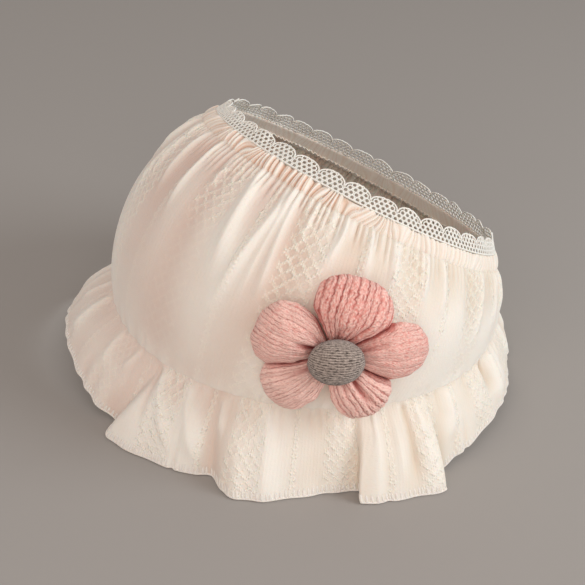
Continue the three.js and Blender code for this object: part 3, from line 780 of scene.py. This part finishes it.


# crinkled cotton crepe: salmon with pale flecks, painted shade in the narrow grooves, with a dusty bloom at
# the edges
def pinkCrepe():
    material, tree, shader = clothShader("cotton_crepe_crinkled", roughness=0.92, sheen=0.12, glow=0.1)
    look = crepeLook
    uv = addNode(tree, "ShaderNodeUVMap", uv_map="clothMm").outputs[0]
    axes = addNode(tree, "ShaderNodeSeparateXYZ", {0: uv})
    stretched = addNode(tree, "ShaderNodeMapping", {"Vector": uv, "Scale": (1.45, 0.75, 1.0)}).outputs[0]
    crinkle = addNode(tree, "ShaderNodeTexNoise", {
        "Vector": stretched, "Scale": 1 / look["crinkle"], "Detail": 3.0, "Roughness": 0.6})
    bubble = addNode(tree, "ShaderNodeTexVoronoi", feature="F1", inputs={
        "Vector": stretched, "Scale": 1 / look["crinkle"]})
    mottle = addNode(tree, "ShaderNodeTexNoise", {"Vector": uv, "Scale": 1 / look["blotch"], "Detail": 2.0})
    wander = addNode(tree, "ShaderNodeTexNoise", {"Vector": uv, "Scale": 1 / look["wander"], "Detail": 1.0})
    known = {
        "x": axes.outputs[0], "noise": crinkle.outputs[0], "bubble": bubble.outputs["Distance"],
        "mottle": mottle.outputs[0], "wander": wander.outputs[0],
    }
    for key in ("grooveShade", "ribShow", "tone"):
        known[key] = addNode(tree, "ShaderNodeAttribute", attribute_name=key).outputs["Fac"]
    workOut(tree, known, [
        ("bubbleUp", "MULTIPLY_ADD", "bubble", -0.45, 0.45),
        ("crinkle", "MULTIPLY_ADD", "noise", 0.5, "bubbleUp"),
        # painted shade: dark lines in the grooves between the ribs
        ("ribAt", "DIVIDE", "x", look["rib"]),
        ("offCentre", "SUBTRACT", "wander", 0.5),
        ("ribWavy", "MULTIPLY_ADD", "offCentre", 0.65, "ribAt"),
        ("ribAway", "PINGPONG", "ribWavy", 0.5),
        ("lineRise", "MULTIPLY_ADD", "ribAway", -5.0, 1.0),
        ("lineOver", "MAXIMUM", "lineRise", 0.0),
        ("lineShown", "MULTIPLY", "lineOver", "ribShow"),
        ("patchy", "MULTIPLY_ADD", "mottle", 2.2, -0.3),  # a line is never the same for long
        ("patched", "MULTIPLY", "lineShown", "patchy"),
        # here and there a rib is split by a finer line
        ("crestAt", "ADD", "ribWavy", 0.5),
        ("crestAway", "PINGPONG", "crestAt", 0.5),
        ("crestRise", "MULTIPLY_ADD", "crestAway", -6.0, 1.0),
        ("crestOver", "MAXIMUM", "crestRise", 0.0),
        ("crestPatch", "MULTIPLY_ADD", "wander", 3.2, -1.42),
        ("crestShare", "MAXIMUM", "crestPatch", 0.0),
        ("crestLine", "MULTIPLY", "crestOver", "crestShare"),
        ("crestShown", "MULTIPLY", "crestLine", "ribShow"),
        ("line", "MAXIMUM", "patched", "crestShown"),
        ("dark", "MAXIMUM", "line", "grooveShade"),
        ("sharp", "MULTIPLY_ADD", "crinkle", 2.4, -0.82),
        ("blotched", "MULTIPLY_ADD", "mottle", 0.34, "sharp"),
        # the tone is each petal's painted lightness, in place of the light that it misses
        ("light", "ADD", "blotched", "tone"),
        ("height", "MULTIPLY_ADD", "line", -0.5, "crinkle"),
    ])
    bump = addNode(tree, "ShaderNodeBump", {"Height": known["height"], "Distance": look["relief"] * mm})
    body = addNode(tree, "ShaderNodeMix", data_type="RGBA", inputs={
        "Factor": known["light"], "A": linear(look["dull"]), "B": linear(look["light"])})
    colour = addNode(tree, "ShaderNodeMix", data_type="RGBA", inputs={
        "Factor": known["dark"], "A": body.outputs["Result"], "B": linear(look["grooveShade"])})
    setInputs(tree, shader, {"Base Color": colour.outputs["Result"], "Normal": bump.outputs[0]})
    return material


crepe = pinkCrepe()
tipTurn = np.linspace(0, petal["tipEnd"], petal["toTip"])
u = np.concatenate([np.linspace(0, petal["belly"], petal["toBelly"], endpoint=False),
                    mix(petal["belly"], 1.0, np.sin(tipTurn) ** (2 / petal["tipPower"]))])[:, None]
spread = mix(petal["rootSpread"], 1.0, np.sin(math.pi / 2 * np.minimum(u / petal["belly"], 1)))
closing = np.concatenate([np.ones(petal["toBelly"]), np.cos(tipTurn) ** (2 / petal["tipPower"])])[:, None]
around = np.concatenate([np.linspace(0, math.pi, petal["topSide"], endpoint=False),
                         np.linspace(math.pi, fullTurn, petal["underside"], endpoint=False)])[None]

bounds = [row[1] for row in petal["petals"].values()]
side = np.cos(around)
for index, (name, row) in enumerate(petal["petals"].items()):
    angle, meets, reach, width, puff, ribs, ribDepth, paintedLightness, creases = row
    draw = np.random.default_rng(60 + index)
    sectors = np.radians([(meets - angle) % 360, (angle - bounds[index - 1]) % 360])
    along = mix(petal["start"], reach, u)
    room = along * np.tan(np.where(side >= 0, sectors[0], sectors[1])) - petal["gap"]
    ribWide = np.minimum(width / 2 * spread, room)
    across = np.minimum(width / 2 * spread * closing, room) * side
    middle = mix(petal["rootHeight"], puff / 2, smooth(u, 0, petal["fullAt"]))
    out = np.maximum(middle + puff / 2 * spread * closing * np.sin(around), 0)
    heading = math.radians(angle)
    points = flowerPoint(along * math.cos(heading) - across * math.sin(heading),
                         along * math.sin(heading) + across * math.cos(heading), out)
    # ribs run along the petal and over its outer edge; place is -1 to 1 across the petal
    place = across / ribWide
    knots = np.linspace(-1.05, 1.05, ribs + 1) + draw.uniform(-0.25, 0.25, ribs + 1) * 2 / ribs
    wobble = sum(0.012 * np.sin(f * u + draw.uniform(0, fullTurn) + 2.5 * place) for f in (5, 9, 16))
    rib = np.interp(place + wobble, knots, np.arange(ribs + 1))
    strength = np.interp(place, knots, draw.uniform(0.6, 1.0, ribs + 1))
    valley = 1 - np.abs(np.sin(math.pi * rib)) ** 0.45
    deep = 0
    for at, depth, wide, end in creases:
        offLine = (place - at - 0.03 * np.sin(7 * u + at * 9)) * ribWide / wide
        deep = deep + depth * np.exp(-offLine ** 2) * (1 - smooth(u, end * 0.3, end)) * smooth(u, 0.0, 0.1)
    upper = smooth(np.sin(around), -0.6, 0.0)
    crumple = 0
    for _ in range(petal["crumples"]):
        sideways, lengthways, begin = draw.uniform((-1.3, 0.5, 0), (1.3, 1.3, fullTurn))
        crumple = crumple + petal["crumple"] * np.sin(across * sideways + along * lengthways + begin)
    patchy = 0.85 + 0.35 * np.sin(along * 0.7 + 5 * place + draw.uniform(0, fullTurn))
    sink = (valley * strength * ribDepth * patchy + deep + crumple * smooth(u, 0.1, 0.3)) * upper
    # painted shade where a petal presses on its neighbour, and in its rib valleys and creases
    touching = smooth(np.abs(across) / np.maximum(room, 0.5), 0.8, 1.0) * (1 - smooth(u, 0.5, 0.9))
    points = points - gridNormals(points) * sink[..., None]
    grooved = valley * strength * ribDepth * 0.7 * patchy + deep * 0.36 + touching * 0.8
    values = {
        "grooveShade": np.clip(grooved * upper, 0, 1),
        "ribShow": np.clip(strength * ribDepth * 1.4 * upper, 0, 0.85),
        "tone": np.full(sink.shape, paintedLightness),
    }
    flat = [np.pad(axis, ((0, 0), (0, 1)), "edge") for axis in (rib * crepeLook["rib"], along + 0 * place)]
    cloth = gridPiece(name + "_crepe", points, flat, values, ends=True)
    dress(cloth, crepe, "pink_crepe", name)


button = {
    "halfWidth": 8.5, "halfHeight": 7.1, "thick": 9.0, "seat": 6.8, "flatRadius": 8.0,
    "rings": 44, "sides": 96, "from": -60, "to": 88.5,  # degrees of latitude
    "rib": 0.9, "ribBend": 0.012, "ribDepth": 0.08, "stitch": 0.8, "fleck": 1 / 1.1, "relief": 0.1,  # mm
    "light": "#CABAAF", "dark": "#352923",
}


# grey rib knit pulled over a button: dull, with fine dark lines between its ribs
def greyKnit():
    material, tree, shader = clothShader("cotton_rib_knit", roughness=0.95, sheen=0.3, glow=0.0)
    uv = addNode(tree, "ShaderNodeUVMap", uv_map="clothMm").outputs[0]
    axes = addNode(tree, "ShaderNodeSeparateXYZ", {0: uv})
    stretched = addNode(tree, "ShaderNodeMapping", {"Vector": uv, "Scale": (0.65, 1.3, 1.0)}).outputs[0]
    # flecks of lighter and darker yarn, drawn about twice as coarse as they are, to show
    fuzz = addNode(tree, "ShaderNodeTexNoise", {
        "Vector": stretched, "Scale": 1 / button["fleck"], "Detail": 3.0, "Roughness": 0.7})
    known = {"x": axes.outputs[0], "y": axes.outputs[1], "fuzz": fuzz.outputs[0]}
    workOut(tree, known, [
        ("square", "MULTIPLY", "x", "x"),
        ("bent", "MULTIPLY_ADD", "square", -button["ribBend"], "y"),
        ("wavy", "MULTIPLY_ADD", "fuzz", 0.6, "bent"),
        ("beat", "MULTIPLY", "wavy", fullTurn / button["rib"]),
        ("ribWave", "SINE", "beat"),
        ("stitchBeat", "MULTIPLY", "x", fullTurn / button["stitch"]),
        ("stitchWave", "SINE", "stitchBeat"),
        ("stitch", "MULTIPLY", "stitchWave", 0.12),
        ("knit", "ADD", "ribWave", "stitch"),
        ("fuzzUp", "MULTIPLY_ADD", "fuzz", 6.0, -3.0),
        ("height", "MULTIPLY_ADD", "knit", 0.6, "fuzzUp"),
        ("tone", "MULTIPLY_ADD", "height", 0.4, 0.5),
    ])
    bump = addNode(tree, "ShaderNodeBump", {"Height": known["height"], "Distance": button["relief"] * mm})
    colour = addNode(tree, "ShaderNodeMix", data_type="RGBA", inputs={
        "Factor": known["tone"], "A": linear(button["dark"]), "B": linear(button["light"])})
    setInputs(tree, shader, {"Base Color": colour.outputs["Result"], "Normal": bump.outputs[0]})
    return material


latitude = np.radians(np.linspace(button["from"], button["to"], button["rings"]))[:, None]
around = np.arange(button["sides"]) * fullTurn / button["sides"]
away = (math.pi / 2 - latitude) * button["flatRadius"]
flatX, flatY = away * np.cos(around), away * np.sin(around)
ribLine = button["ribDepth"] * np.sin((flatY - button["ribBend"] * flatX ** 2) * fullTurn / button["rib"])
level = np.cos(latitude) * (1 + ribLine / button["thick"])
out = button["seat"] + button["thick"] / 2 * (1 + np.sin(latitude)) + ribLine * np.sin(latitude)
points = flowerPoint(button["halfWidth"] * level * np.cos(around),
                     button["halfHeight"] * level * np.sin(around), out)
flat = [np.concatenate([axis, axis[:, :1]], 1) for axis in (flatX, flatY)]
knitButton = gridPiece("flower_button_knit", points, flat, ends=True)
dress(knitButton, greyKnit(), "grey_knit", "flower_button")


# the photo's camera, in degrees and metres: it looks down at the hat, a little tilted
photo = {
    "azimuth": 51.35, "elevation": 32.0, "roll": 6.0, "aim": (0.01751, -0.02051, 0.045), "distance": 0.44877,
    "lens": 71.65, "sensor": 36,  # mm
}
facing, rising, rolled = (math.radians(photo[key]) for key in ("azimuth", "elevation", "roll"))
back = Vector(uprightDirection(facing, rising))
levelRight = Vector((math.cos(facing), math.sin(facing), 0))
right = levelRight * math.cos(rolled) + back.cross(levelRight) * math.sin(rolled)
up = back.cross(right)

studio = {
    "floor": "#A19D99", "floorHalf": 30, "world": "#FFF7F2", "worldStrength": 0.53, "middle": (0, 0, 0.045),
    # size in m, watts, and place from the hat's middle along the camera's right, up and back
    "lights": {
        "key_softbox": (0.7, 7.8, (1.1, 0.3, 0.5), "#F7FCFF"),
        "front_fill": (1.2, 6.5, (-0.2, -0.08, 1.2), "#FFF2EB"),
    },
}
floorMesh = bpy.data.meshes.new("floor")
half = studio["floorHalf"]
corners = [(-half, -half, 0), (half, -half, 0), (half, half, 0), (-half, half, 0)]
floorMesh.from_pydata(corners, [], [(0, 1, 2, 3)])
floor = addObject("floor", floorMesh)
paper = bpy.data.materials.new("paper_matt")  # uncoated backdrop paper: even, with no shine
paper.use_nodes = True
setInputs(paper.node_tree, paper.node_tree.nodes["Principled BSDF"], {
    "Base Color": linear(studio["floor"]), "Roughness": 0.95, "Specular IOR Level": 0.1})
floorMesh.materials.append(paper)

world = bpy.data.worlds.new("studio_light")
world.use_nodes = True
setInputs(world.node_tree, world.node_tree.nodes["Background"], {
    "Color": linear(studio["world"]), "Strength": studio["worldStrength"]})
bpy.context.scene.world = world
middle = Vector(studio["middle"])
for name, (size, watts, (toRight, toUp, toBack), tint) in studio["lights"].items():
    light = bpy.data.lights.new(name, "AREA")
    light.shape = "DISK"
    light.size = size
    light.energy = watts
    light.color = linear(tint)[:3]
    lamp = addObject(name, light)
    lamp.location = middle + right * toRight + up * toUp + back * toBack
    lamp.rotation_euler = (lamp.location - middle).to_track_quat("Z", "Y").to_euler()
bpy.context.scene.view_settings.view_transform = "Standard"
print("studio lit")

camera = bpy.data.cameras.new("photo_camera")
camera.lens = photo["lens"]
camera.sensor_width = photo["sensor"]
cameraObject = addObject("photo_camera", camera)
stand = Vector(photo["aim"]) + back * photo["distance"]
cameraObject.matrix_world = Matrix.Translation(stand) @ Matrix((right, up, back)).transposed().to_4x4()
bpy.context.scene.camera = cameraObject
